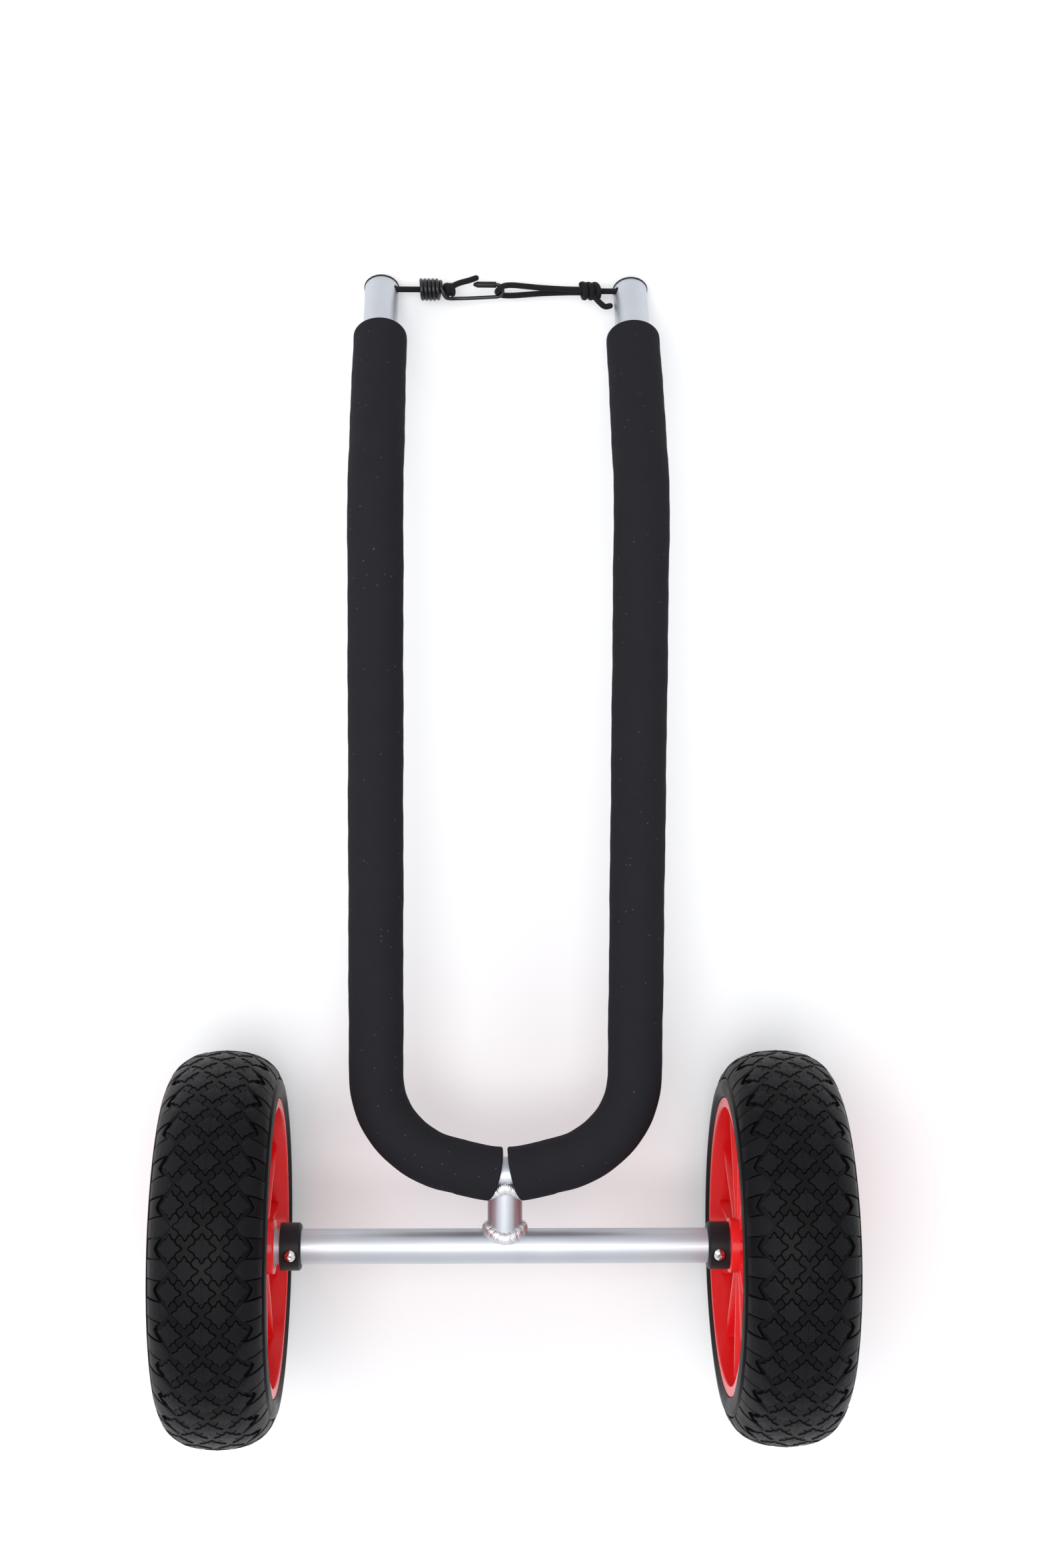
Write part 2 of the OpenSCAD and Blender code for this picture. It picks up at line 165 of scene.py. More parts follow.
def smooth_line(points, step):
    """A rounded line through the points."""
    p = np.asarray(points, float)
    ends = np.vstack([2 * p[0] - p[1], p, 2 * p[-1] - p[-2]])
    fine = []
    for i in range(len(p) - 1):
        a, b, c, d = ends[i:i + 4]
        for t in np.linspace(0, 1, 16, endpoint=False):
            fine.append(0.5 * (2 * b + (c - a) * t + (2 * a - 5 * b + 4 * c - d) * t ** 2
                               + (3 * b - a - 3 * c + d) * t ** 3))
    fine.append(p[-1])
    return resampled(np.array(fine), step)


def headings(line, closed=False):
    """Unit direction of travel at each point."""
    if closed:
        heads = np.roll(line, -1, axis=0) - np.roll(line, 1, axis=0)
    else:
        heads = np.gradient(line, axis=0)
    return heads / np.linalg.norm(heads, axis=1)[:, None]


def carried_sides(heads, first):
    """A side vector for each heading, carried along without twisting."""
    sides, v = [], np.asarray(first, float)
    for h in heads:
        v = v - h * v.dot(h)
        v = v / np.linalg.norm(v)
        sides.append(v)
    return np.array(sides)


class Shell:
    """Points and faces of a piece while it is made, with UVs and one mask value for each point."""

    def __init__(self):
        self.verts, self.faces, self.uvs, self.mask = [], [], [], []

    def add(self, verts, faces, uvs=None, mask=0.0):
        start = len(self.verts)
        self.verts += [tuple(v) for v in verts]
        self.faces += [tuple(start + i for i in f) for f in faces]
        self.uvs += uvs if uvs is not None else [[(0, 0)] * len(f) for f in faces]
        self.mask += [mask] * len(verts)
        return self

    def piece(self, name, material, place=(0, 0, 0), sharp=40):
        """The finished object, in metres, with its normals outwards."""
        points = np.array(self.verts) * MM + np.array(place)
        mesh = bpy.data.meshes.new(name)
        mesh.from_pydata(points.tolist(), [], self.faces)
        layer = mesh.uv_layers.new(name="along")
        layer.data.foreach_set("uv", np.array([uv for f in self.uvs for uv in f]).ravel())
        mesh.attributes.new("raised", "FLOAT", "POINT").data.foreach_set("value", self.mask)
        mesh.polygons.foreach_set("use_smooth", [True] * len(mesh.polygons))
        if material is not None:
            mesh.materials.append(material)
        obj = bpy.data.objects.new(name, mesh)
        bpy.context.scene.collection.objects.link(obj)
        if sharp:
            outwards(obj)
            mesh.set_sharp_from_angle(angle=math.radians(sharp))
        return obj


def outwards(obj):
    """Turns the faces of closed shells outwards."""
    bm = bmesh.new()
    bm.from_mesh(obj.data)
    bmesh.ops.recalc_face_normals(bm, faces=bm.faces)
    bm.to_mesh(obj.data)
    bm.free()


def swept(line, radius, sides):
    """Round-ended bar along a line: points, faces and UVs (turns round, diameters along)."""
    heads = headings(line)
    side = carried_sides(heads, (0, 0, 1))
    stations = [(line[i], side[i], np.cross(heads[i], side[i]), radius) for i in range(len(line))]
    for end, sign in ((0, -1), (-1, 1)):
        extra = [(line[end] + sign * heads[end] * radius * math.sin(a), side[end],
                  np.cross(heads[end], side[end]), radius * math.cos(a)) for a in END_ROUNDING]
        stations = extra[::-1] + stations if end == 0 else stations + extra
    centres = np.array([s[0] for s in stations])
    steps = np.linalg.norm(np.diff(centres, axis=0), axis=1)
    along = np.concatenate([[0], np.cumsum(steps)]) / (2 * radius)
    turn = np.arange(sides) * 2 * math.pi / sides
    verts = [c + r * (math.cos(t) * a + math.sin(t) * b) for c, a, b, r in stations for t in turn]
    n, faces, uvs = len(stations), [], []
    for i in range(n - 1):
        j = i + 1
        for k in range(sides):
            m = (k + 1) % sides
            faces.append((i * sides + k, i * sides + m, j * sides + m, j * sides + k))
            uvs.append([(k / sides, along[i]), ((k + 1) / sides, along[i]),
                        ((k + 1) / sides, along[j]), (k / sides, along[j])])
    for ring, order in ((0, -1), (n - 1, 1)):
        faces.append(tuple(ring * sides + k for k in range(sides))[::order])
        uvs.append([(k / sides, along[ring]) for k in range(sides)][::order])
    return verts, faces, uvs


def rounded(corners, steps=4):
    """Closed profile whose corners (x, r, fillet) are rounded off."""
    out = []
    for i, (x, r, fillet) in enumerate(corners):
        corner = np.array((x, r), float)
        if not fillet:
            out.append(corner)
            continue
        back = np.array(corners[i - 1][:2]) - corner
        on = np.array(corners[(i + 1) % len(corners)][:2]) - corner
        back, on = back / np.linalg.norm(back), on / np.linalg.norm(on)
        half = math.acos(np.clip(back.dot(on), -1, 1)) / 2
        middle = corner + (back + on) / np.linalg.norm(back + on) * fillet / math.sin(half)
        a = corner + back * fillet / math.tan(half) - middle
        b = corner + on * fillet / math.tan(half) - middle
        wide = math.pi - 2 * half
        for t in np.linspace(0, 1, steps + 1):
            out.append(middle + (a * math.sin((1 - t) * wide) + b * math.sin(t * wide)) / math.sin(wide))
    return [tuple(p) for p in out]


def turned(profile, start, end, steps):
    """A closed profile (x, r) turned round X from one angle to another."""
    whole = abs(end - start) > 2 * math.pi - 1e-6
    angles = np.linspace(start, end, steps + 1)[:steps if whole else steps + 1]
    n = len(profile)
    verts = [(x, r * math.cos(a), r * math.sin(a)) for a in angles for x, r in profile]
    faces = []
    for j in range(steps):
        k = (j + 1) % len(angles)
        faces += [(j * n + i, j * n + (i + 1) % n, k * n + (i + 1) % n, k * n + i) for i in range(n)]
    return verts, faces


# ---- Shader node groups ----

def shader_group(name, inputs, outputs):
    """An empty group with its named sockets, and its input and output nodes."""
    tree = bpy.data.node_groups.new(name, "ShaderNodeTree")
    for label, kind, value in inputs:
        socket = tree.interface.new_socket(label, in_out="INPUT", socket_type="NodeSocket" + kind)
        if value is not None:
            socket.default_value = value
    for label, kind in outputs:
        tree.interface.new_socket(label, in_out="OUTPUT", socket_type="NodeSocket" + kind)
    return tree, tree.nodes.new("NodeGroupInput"), tree.nodes.new("NodeGroupOutput")


def math_node(tree, operation, a, b):
    """A Math node whose inputs are numbers or sockets; its result."""
    node = tree.nodes.new("ShaderNodeMath")
    node.operation = operation
    for socket, value in zip(node.inputs, (a, b)):
        if isinstance(value, (int, float)):
            socket.default_value = value
        else:
            tree.links.new(value, socket)
    return node.outputs[0]


def link_all(tree, pairs):
    """Links each output to the input beside it."""
    for output, socket in pairs:
        tree.links.new(output, socket)


def make_grain():
    """Fine moulded or foamed grain: a mask and a bumped normal."""
    tree, inp, out = shader_group(
        "grain", [("Vector", "Vector", None), ("Scale", "Float", 900.0), ("Detail", "Float", 3.0),
                  ("Depth", "Float", 0.0001), ("Amount", "Float", 0.5)],
        [("Mask", "Float"), ("Normal", "Vector")])
    noise = tree.nodes.new("ShaderNodeTexNoise")
    bump = tree.nodes.new("ShaderNodeBump")
    link_all(tree, (
        (inp.outputs["Vector"], noise.inputs["Vector"]), (inp.outputs["Scale"], noise.inputs["Scale"]),
        (inp.outputs["Detail"], noise.inputs["Detail"]), (noise.outputs["Fac"], bump.inputs["Height"]),
        (inp.outputs["Depth"], bump.inputs["Distance"]), (inp.outputs["Amount"], bump.inputs["Strength"]),
        (noise.outputs["Fac"], out.inputs["Mask"]), (bump.outputs["Normal"], out.inputs["Normal"])))
    return tree


def make_drawn_lines():
    """Fine lines drawn along one direction: a mask and a bumped normal."""
    tree, inp, out = shader_group(
        "drawn_lines", [("Vector", "Vector", None), ("Stretch", "Vector", (20.0, 900.0, 900.0)),
                        ("Depth", "Float", 0.00002)],
        [("Mask", "Float"), ("Normal", "Vector")])
    scale = tree.nodes.new("ShaderNodeVectorMath")
    scale.operation = "MULTIPLY"
    noise = tree.nodes.new("ShaderNodeTexNoise")
    noise.inputs["Scale"].default_value = 1.0
    noise.inputs["Detail"].default_value = 4.0
    bump = tree.nodes.new("ShaderNodeBump")
    bump.inputs["Strength"].default_value = 0.35
    link_all(tree, (
        (inp.outputs["Vector"], scale.inputs[0]), (inp.outputs["Stretch"], scale.inputs[1]),
        (scale.outputs[0], noise.inputs["Vector"]), (noise.outputs["Fac"], bump.inputs["Height"]),
        (inp.outputs["Depth"], bump.inputs["Distance"]), (noise.outputs["Fac"], out.inputs["Mask"]),
        (bump.outputs["Normal"], out.inputs["Normal"])))
    return tree


SPECK_R = 0.22      # as a share of the spacing between specks
MASK_LOW, MASK_HIGH = 0.3, 0.7      # where most of a noise mask's values lie


def make_specks():
    """Scattered light specks: a mask."""
    tree, inp, out = shader_group(
        "specks", [("Vector", "Vector", None), ("Scale", "Float", 400.0), ("Share", "Float", 0.04)],
        [("Mask", "Float")])
    cells = tree.nodes.new("ShaderNodeTexVoronoi")
    cells.inputs["Randomness"].default_value = 1.0
    tree.links.new(inp.outputs["Vector"], cells.inputs["Vector"])
    tree.links.new(inp.outputs["Scale"], cells.inputs["Scale"])
    split = tree.nodes.new("ShaderNodeSeparateColor")
    tree.links.new(cells.outputs["Color"], split.inputs[0])
    chosen = math_node(tree, "LESS_THAN", split.outputs[0], inp.outputs["Share"])
    near = math_node(tree, "LESS_THAN", cells.outputs["Distance"], SPECK_R)
    tree.links.new(math_node(tree, "MULTIPLY", chosen, near), out.inputs["Mask"])
    return tree


def make_braid():
    """Braided cover of a cord from its UVs: a height, and a mask that falls to nothing along the lines
    between the strands, used to paint shade there.
    """
    tree, inp, out = shader_group(
        "braid", [("UV", "Vector", None), ("Strands", "Float", 8.0), ("Pitch", "Float", 1.5)],
        [("Height", "Float"), ("Mask", "Float")])
    split = tree.nodes.new("ShaderNodeSeparateXYZ")
    tree.links.new(inp.outputs["UV"], split.inputs[0])
    around = math_node(tree, "MULTIPLY", split.outputs[0], inp.outputs["Strands"])
    along = math_node(tree, "MULTIPLY", split.outputs[1], inp.outputs["Pitch"])
    waves = []
    for lay in ("ADD", "SUBTRACT"):
        phase = math_node(tree, "MULTIPLY", math_node(tree, lay, around, along), math.pi)
        waves.append(math_node(tree, "ABSOLUTE", math_node(tree, "SINE", phase, 0), 0))
    height = math_node(tree, "MAXIMUM", waves[0], waves[1])
    tree.links.new(math_node(tree, "POWER", height, 2.0), out.inputs["Height"])
    tree.links.new(math_node(tree, "MULTIPLY", waves[0], waves[1]), out.inputs["Mask"])
    return tree


GROUPS = {"grain": make_grain(), "drawn_lines": make_drawn_lines(), "specks": make_specks(),
          "braid": make_braid()}


class Finish:
    """A material, with short ways to add and join its nodes."""

    def __init__(self, name, values):
        self.mat = bpy.data.materials.new(name)
        self.mat.use_nodes = True
        self.tree = self.mat.node_tree
        self.shader = self.tree.nodes["Principled BSDF"]
        for socket, value in values.items():
            self.shader.inputs[socket].default_value = value
        self.coords = self.tree.nodes.new("ShaderNodeTexCoord")

    def group(self, kind, **values):
        node = self.tree.nodes.new("ShaderNodeGroup")
        node.node_tree = GROUPS[kind]
        source = self.coords.outputs["UV" if kind == "braid" else "Object"]
        self.tree.links.new(source, node.inputs[0])
        for socket, value in values.items():
            node.inputs[socket].default_value = value
        return node

    def mix(self, mask, a, b):
        """Colour that goes from a to b with the mask; either may be a socket."""
        node = self.tree.nodes.new("ShaderNodeMix")
        node.data_type = "RGBA"
        self.tree.links.new(mask, node.inputs["Factor"])
        for socket, value in ((node.inputs[6], a), (node.inputs[7], b)):
            if isinstance(value, tuple):
                socket.default_value = (*value, 1)
            else:
                self.tree.links.new(value, socket)
        return node.outputs[2]

    def span(self, mask, low, high):
        """A value that goes from low to high with the mask."""
        node = self.tree.nodes.new("ShaderNodeMapRange")
        self.tree.links.new(mask, node.inputs["Value"])
        node.inputs["From Min"].default_value = MASK_LOW
        node.inputs["From Max"].default_value = MASK_HIGH
        node.inputs["To Min"].default_value = low
        node.inputs["To Max"].default_value = high
        return node.outputs[0]

    def attribute(self, name):
        node = self.tree.nodes.new("ShaderNodeAttribute")
        node.attribute_name = name
        return node.outputs["Fac"]

    def join(self, output, socket):
        self.tree.links.new(output, self.shader.inputs[socket])
        return self


# ---- Finishes ----

def satin_aluminium(name, stretch):
    f = Finish(name, {"Metallic": 1.0})
    lines = f.group("drawn_lines", Stretch=stretch, Depth=0.00002)
    cloud = f.group("grain", Scale=28.0, Detail=2.0)
    f.join(f.mix(cloud.outputs["Mask"], (0.50, 0.52, 0.56), (0.58, 0.60, 0.64)), "Base Color")
    f.join(f.span(lines.outputs["Mask"], 0.42, 0.54), "Roughness")
    f.join(lines.outputs["Normal"], "Normal")
    return f.mat


def weld_metal():
    f = Finish("weld_metal", {"Metallic": 1.0})
    skin = f.group("grain", Scale=700.0, Detail=4.0, Depth=0.00012, Amount=0.6)
    f.join(f.mix(skin.outputs["Mask"], (0.66, 0.66, 0.68), (0.80, 0.80, 0.82)), "Base Color")
    f.join(f.span(skin.outputs["Mask"], 0.34, 0.5), "Roughness")
    f.join(skin.outputs["Normal"], "Normal")
    return f.mat


def charcoal_foam():
    f = Finish("charcoal_foam", {"Specular IOR Level": 0.05})
    cells = f.group("grain", Scale=1300.0, Detail=5.0, Depth=0.0004, Amount=0.6)
    patch = f.group("grain", Scale=60.0, Detail=2.0)
    dust = f.group("specks", Scale=420.0, Share=0.03)
    base = f.mix(patch.outputs["Mask"], (0.0085, 0.0085, 0.0105), (0.0125, 0.0125, 0.015))
    fine = f.mix(cells.outputs["Mask"], base, (0.020, 0.020, 0.024))
    f.join(f.mix(dust.outputs["Mask"], fine, (0.055, 0.055, 0.06)), "Base Color")
    f.join(f.span(cells.outputs["Mask"], 0.72, 0.92), "Roughness")
    f.join(cells.outputs["Normal"], "Normal")
    return f.mat


def tyre_rubber():
    f = Finish("tyre_rubber", {"Specular IOR Level": 0.08})
    pebble = f.group("grain", Scale=1250.0, Detail=2.0, Depth=0.00055, Amount=0.75)
    bloom = f.group("grain", Scale=35.0, Detail=3.0)
    raised = f.attribute("raised")
    tone = f.mix(bloom.outputs["Mask"], (0.0035, 0.0035, 0.0042), (0.0075, 0.0075, 0.009))
    # Painted shade: the carcass under the blocks, groove floors and sidewalls alike, has raised 0 and takes
    # the darkest colour, as shade painted into the grooves. Blocks with a lower raised value (crosses,
    # parting ridge, hollow shoulders) come out darker as well. The same mask also picks the pebbled or
    # smooth bump.
    f.join(f.mix(raised, (0.003, 0.003, 0.0035), tone), "Base Color")
    f.join(f.span(bloom.outputs["Mask"], 0.34, 0.46), "Roughness")
    smooth = f.group("grain", Scale=240.0, Detail=2.0, Depth=0.0001, Amount=0.3)
    normal = f.tree.nodes.new("ShaderNodeMix")
    normal.data_type = "VECTOR"
    f.tree.links.new(raised, normal.inputs["Factor"])
    f.tree.links.new(smooth.outputs["Normal"], normal.inputs[4])
    f.tree.links.new(pebble.outputs["Normal"], normal.inputs[5])
    f.join(normal.outputs[1], "Normal")
    return f.mat


def red_plastic():
    f = Finish("red_plastic", {"Coat Roughness": 0.08, "Specular IOR Level": 0.25})
    skin = f.group("grain", Scale=160.0, Detail=2.0, Depth=0.00012, Amount=0.35)
    cloud = f.group("grain", Scale=22.0, Detail=2.0)
    f.join(f.mix(cloud.outputs["Mask"], (0.66, 0.004, 0.006), (0.78, 0.008, 0.010)), "Base Color")
    f.join(f.span(cloud.outputs["Mask"], 0.20, 0.30), "Roughness")
    f.join(f.span(skin.outputs["Mask"], 0.05, 0.15), "Coat Weight")
    f.join(skin.outputs["Normal"], "Normal")
    return f.mat


def plain_plastic(name, dark, light, rough, depth=0.00008):
    f = Finish(name, {"Specular IOR Level": 0.22})
    skin = f.group("grain", Scale=1100.0, Detail=3.0, Depth=depth, Amount=0.5)
    cloud = f.group("grain", Scale=90.0, Detail=2.0)
    f.join(f.mix(cloud.outputs["Mask"], dark, light), "Base Color")
    f.join(f.span(skin.outputs["Mask"], rough - 0.06, rough + 0.08), "Roughness")
    f.join(skin.outputs["Normal"], "Normal")
    return f.mat


def bright_steel():
    f = Finish("bright_steel", {"Metallic": 1.0})
    lines = f.group("drawn_lines", Stretch=(700.0, 700.0, 60.0), Depth=0.00001)
    cloud = f.group("grain", Scale=300.0, Detail=3.0)
    f.join(f.mix(cloud.outputs["Mask"], (0.56, 0.56, 0.57), (0.72, 0.72, 0.73)), "Base Color")
    f.join(f.span(cloud.outputs["Mask"], 0.16, 0.28), "Roughness")
    f.join(lines.outputs["Normal"], "Normal")
    return f.mat


def coated_wire():
    f = Finish("coated_wire", {"Coat Roughness": 0.05, "Specular IOR Level": 0.3})
    skin = f.group("grain", Scale=500.0, Detail=3.0, Depth=0.00008, Amount=0.4)
    f.join(f.mix(skin.outputs["Mask"], (0.004, 0.004, 0.005), (0.009, 0.009, 0.010)), "Base Color")
    f.join(f.span(skin.outputs["Mask"], 0.14, 0.26), "Roughness")
    f.join(f.span(skin.outputs["Mask"], 0.15, 0.35), "Coat Weight")
    f.join(skin.outputs["Normal"], "Normal")
    return f.mat


def braided_cord():
    f = Finish("braided_cord", {"Sheen Weight": 0.02, "Sheen Roughness": 0.4, "Specular IOR Level": 0.12})
    braid = f.group("braid", Strands=10.0, Pitch=2.6)
    fibre = f.group("grain", Scale=3500.0, Detail=2.0)
    # Painted shade: the cord's colour darkens along the braid mask's lines between the strands.
    tone = f.mix(braid.outputs["Mask"], (0.004, 0.004, 0.005), (0.012, 0.012, 0.014))
    f.join(f.mix(fibre.outputs["Mask"], tone, (0.010, 0.010, 0.011)), "Base Color")
    f.join(f.span(fibre.outputs["Mask"], 0.55, 0.75), "Roughness")
    bump = f.tree.nodes.new("ShaderNodeBump")
    bump.inputs["Distance"].default_value = 0.00035
    bump.inputs["Strength"].default_value = 0.6
    f.tree.links.new(braid.outputs["Height"], bump.inputs["Height"])
    f.join(bump.outputs["Normal"], "Normal")
    return f.mat


BLACK = (0.0045, 0.0045, 0.0052)
AXLE_METAL = satin_aluminium("axle_aluminium", (15.0, 900.0, 900.0))
CRADLE_METAL = satin_aluminium("cradle_aluminium", (900.0, 40.0, 900.0))
WELD = weld_metal()
FOAM = charcoal_foam()
RUBBER = tyre_rubber()
RED = red_plastic()
PLUG = plain_plastic("plug_plastic", BLACK, (0.012, 0.012, 0.013), 0.40)
COLLAR = plain_plastic("collar_plastic", BLACK, (0.015, 0.015, 0.017), 0.42)
SLEEVE = plain_plastic("sleeve_plastic", (0.008, 0.008, 0.008), (0.016, 0.016, 0.017), 0.30)
NYLON = plain_plastic("nylon", (0.72, 0.70, 0.64), (0.82, 0.81, 0.76), 0.40)
STEEL = bright_steel()
WIRE = coated_wire()
BRAID = braided_cord()


def finish_node(name, material):
    """Gives a node of the frame its material."""
    node = nodes[name]
    if not node.material_slots:
        node.data.materials.append(material)
    for slot in node.material_slots:
        slot.material = material


# ---- Camera, floor and light ----

CAMERA_LEAN, CAMERA_TURN, CAMERA_ROLL = math.radians(6.42), math.radians(1.672), math.radians(0.172)
CAMERA_LENS = 49.42
AXLE_SEEN_AT = (-0.01281, 1.5522, -0.3330)      # right of, ahead of and above the camera


def place_camera():
    """Looks down on the cart from above its middle, leaning a little towards the wheels."""
    lean = CAMERA_LEAN
    turned_by = Matrix.Rotation(CAMERA_TURN, 3, "Z")
    rolled_by = Matrix.Rotation(CAMERA_ROLL, 3, "Y")
    m = np.array(rolled_by @ turned_by)
    seen = m @ np.array([[1, 0, 0], [0, -math.sin(lean), -math.cos(lean)],
                         [0, math.cos(lean), -math.sin(lean)]])
    right, ahead, up = seen
    data = bpy.data.cameras.new("view_camera")
    data.sensor_fit, data.sensor_height, data.lens = "VERTICAL", 36, CAMERA_LENS
    camera = bpy.data.objects.new("view_camera", data)
    basis = Matrix(np.column_stack([right, up, -ahead]).tolist()).to_4x4()
    basis.translation = AXLE - seen.T @ np.array(AXLE_SEEN_AT)
    camera.matrix_world = basis
    bpy.context.scene.collection.objects.link(camera)
    bpy.context.scene.camera = camera


def soft_box(name, place, aim, size, power):
    """A square soft light."""
    data = bpy.data.lights.new(name, "AREA")
    data.shape, data.size, data.energy = "SQUARE", size, power
    lamp = bpy.data.objects.new(name, data)
    away = np.array(place) - np.array(aim)
    lamp.matrix_world = Matrix.Translation(place) @ direction(away).to_4x4()
    bpy.context.scene.collection.objects.link(lamp)


def direction(z_axis):
    """Rotation whose Z axis points along the given vector."""
    z = np.asarray(z_axis, float) / np.linalg.norm(z_axis)
    x = np.cross((0, 1, 0.01), z)
    x = x / np.linalg.norm(x)
    return Matrix(np.column_stack([x, np.cross(z, x), z]).tolist())


FLOOR_HALF = 6.0        # metres
FLOOR_DROP = 0.0004     # metres that the floor lies below the wheels, so that nothing flickers


def make_stage():
    """A pale floor under soft light from all round."""
    finish = Finish("pale_floor", {"Specular IOR Level": 0.1})
    mottle = finish.group("grain", Scale=6.0, Detail=3.0, Depth=0.0)
    finish.join(finish.mix(mottle.outputs["Mask"], (0.88, 0.88, 0.885), (0.9, 0.9, 0.905)), "Base Color")
    finish.join(finish.span(mottle.outputs["Mask"], 0.8, 0.9), "Roughness")
    half, z = FLOOR_HALF, -FLOOR_DROP
    corners = [(-half, -half, z), (half, -half, z), (half, half, z), (-half, half, z)]
    mesh = bpy.data.meshes.new("floor")
    mesh.from_pydata(corners, [], [(0, 1, 2, 3)])
    mesh.materials.append(finish.mat)
    floor = bpy.data.objects.new("floor", mesh)
    bpy.context.scene.collection.objects.link(floor)

    world = bpy.data.worlds.new("soft_room")
    world.use_nodes = True
    sky = world.node_tree.nodes["Background"]
    sky.inputs["Color"].default_value = (0.97, 0.98, 1.0, 1)
    sky.inputs["Strength"].default_value = 1.0
    bpy.context.scene.world = world
    soft_box("key_light", (-0.25, 0.15, 2.5), (-0.1, -0.05, 0), 1.3, 26)
    soft_box("side_light", (-1.8, 0.6, 1.6), (0, 0, 0), 1.2, 12)

    view = bpy.context.scene.view_settings
    view.view_transform = "Standard"
    view.look = "None"


# ---- Elastic cord and hook ----

LEFT_ROUTE = [(-90, 0, 0), (-78, 0, 0), (-68, 0, 0), (-57, 0, 0), (-47, 0, 0), (-44, 0, 0)]
RIGHT_ROUTE = [(90, 0, 0), (79, 0, 0), (70, 0, 0), (66, 0, 0)]
RIGHT_TAIL = [(64, -2, 2), (66, -5, 3), (69, -8.5, 4), (73, -11.5, 4), (77, -11, 3.5)]
LEFT_TAIL = [(-42, 1, 0), (-39, 3, 1), (-34, 5, 2), (-28, 6.5, 3), (-22.5, 8.4, 3)]
LOOP = [(60, 0.8, 2.1), (57, 0.8, 2.1), (46, 0.9, 2.1), (34, 1.4, 2.0), (24, 1.9, 2.6), (14, 2.6, 4.0),
        (5, 3.2, 4.9), (-1, 2.8, 5.0), (-4.6, 1.2, 4.6), (-6.2, -0.4, 2.6), (-6.7, -1.0, 0),
        (-6.2, -1.6, -2.6), (-4.6, -2.6, -4.6), (-1, -3.2, -5.0), (5, -3.2, -4.9), (14, -2.6, -4.0),
        (24, -1.9, -2.6), (34, -1.4, -2.0), (46, -0.9, -2.1), (57, -0.8, -2.1), (60, -0.8, -2.1)]
SHANK = [(-45.2, -5.6, 4.4), (-42.5, -6.6, 2.0), (-37, -6.4, 0.4), (-27, -6.0, 0), (-17, -5.4, 0)]
COIL_X = (-63.3, -48.1)
COIL_R = 6.9
COIL_END_R = 5.6
COIL_TURNS = 5.25
HOOK_BEND = (-7.1, -0.4)
HOOK_BEND_R = 4.4
HOOK_WIRE_END = -20
HOOK_TIP_END = -24.5
HOOK_TIP_R = 2.3
COIL_STEPS = 32


def cord_piece(name, route, body=None, swaps=()):
    """A length of the braided cord along a route from the middle of the cord line."""
    shell = Shell().add(*swept(smooth_line(route, CORD_STEP), CORD_R, CORD_SIDES))
    piece = shell.piece(name, BRAID, CORD_LINE)
    if swaps:
        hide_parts(*swaps)
    if body:
        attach(piece, body)
    return piece


def overhand(start, end, radius, turns, lean):
    """Route of a knot drawn tight round the cord line: its wraps, then a strand back over them."""
    t = np.linspace(0, 1, 40)
    a = 2 * math.pi * turns * t
    wraps = np.column_stack([start + (end - start) * t + lean * np.sin(a),
                             radius * np.cos(a), radius * np.sin(a)])
    t = np.linspace(0.1, 1, 12)
    a = a[-1] + 1.1 * math.pi * t
    back = np.column_stack([end + (start - end) * t, 1.05 * radius * np.cos(a), 1.05 * radius * np.sin(a)])
    return np.vstack([wraps, back])


def hook_line():
    """The wire's line: the coil, the shank, the bend and the end under the sleeve."""
    steps = np.linspace(0, 1, round(COIL_TURNS * COIL_STEPS))
    a = steps * COIL_TURNS * 2 * math.pi
    squeeze = np.maximum(0, steps * COIL_TURNS - (COIL_TURNS - 1))
    r = COIL_R - (COIL_R - COIL_END_R) * squeeze
    coil = np.column_stack([COIL_X[0] + (COIL_X[1] - COIL_X[0]) * steps, r * np.cos(a), r * np.sin(a)])
    a = np.radians(np.linspace(-90, 90, 13))
    bend = np.column_stack([HOOK_BEND[0] + HOOK_BEND_R * np.cos(a),
                            HOOK_BEND[1] + HOOK_BEND_R * np.sin(a), 0 * a])
    end = [(HOOK_WIRE_END, HOOK_BEND[1] + HOOK_BEND_R, 0)]
    shank = smooth_line(np.vstack([coil[-3:], SHANK, bend[:2]]), 1.0)[2:-1]
    return resampled(np.vstack([coil[:-1], shank, bend, end]), 0.7)


def make_bungee():
    """The elastic cord's two halves, its knots and loop, and the hook."""
    cord = cord_piece("bungee_left", LEFT_ROUTE, swaps=["cord_left"])
    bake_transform(cord)
    cord_piece("bungee_stopper", overhand(-44.8, -39.6, 2.9, 1.6, 0.9), "hook", ["stopper_knot"])
    cord_piece("bungee_left_tail", LEFT_TAIL, "hook", ["cord_left_tail"])
    cord_piece("bungee_right", RIGHT_ROUTE, "frame", ["cord_right"])
    cord_piece("bungee_knot", overhand(55.8, 67.6, 4.7, 2.5, 1.8), "frame", ["loop_knot"])
    cord_piece("bungee_right_tail", RIGHT_TAIL, "frame", ["cord_right_tail"])
    cord_piece("bungee_loop", LOOP, "frame", ["cord_loop"])

    wire = Shell().add(*swept(hook_line(), WIRE_R, CORD_SIDES)).piece("hook_wire_smooth", WIRE, CORD_LINE)
    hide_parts("hook_wire")
    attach(wire, "hook")
    tip_y, start = HOOK_BEND[1] + HOOK_BEND_R, HOOK_BEND[0] - 0.4
    profile = rounded([(start, 1.5, 0), (start, HOOK_TIP_R, 0.4), (HOOK_TIP_END + 3, HOOK_TIP_R, 1.5),
                       (HOOK_TIP_END, 1.0, 0.6), (HOOK_TIP_END, 0.05, 0), (start - 2, 0.05, 0)])
    sleeve = Shell().add(*turned(profile, 0, 2 * math.pi, 32)).piece(
        "hook_sleeve", SLEEVE, CORD_LINE + np.array((0, tip_y, 0)) * MM, sharp=50)
    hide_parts("hook_tip")
    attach(sleeve, "hook")


# ---- Foam sleeves ----

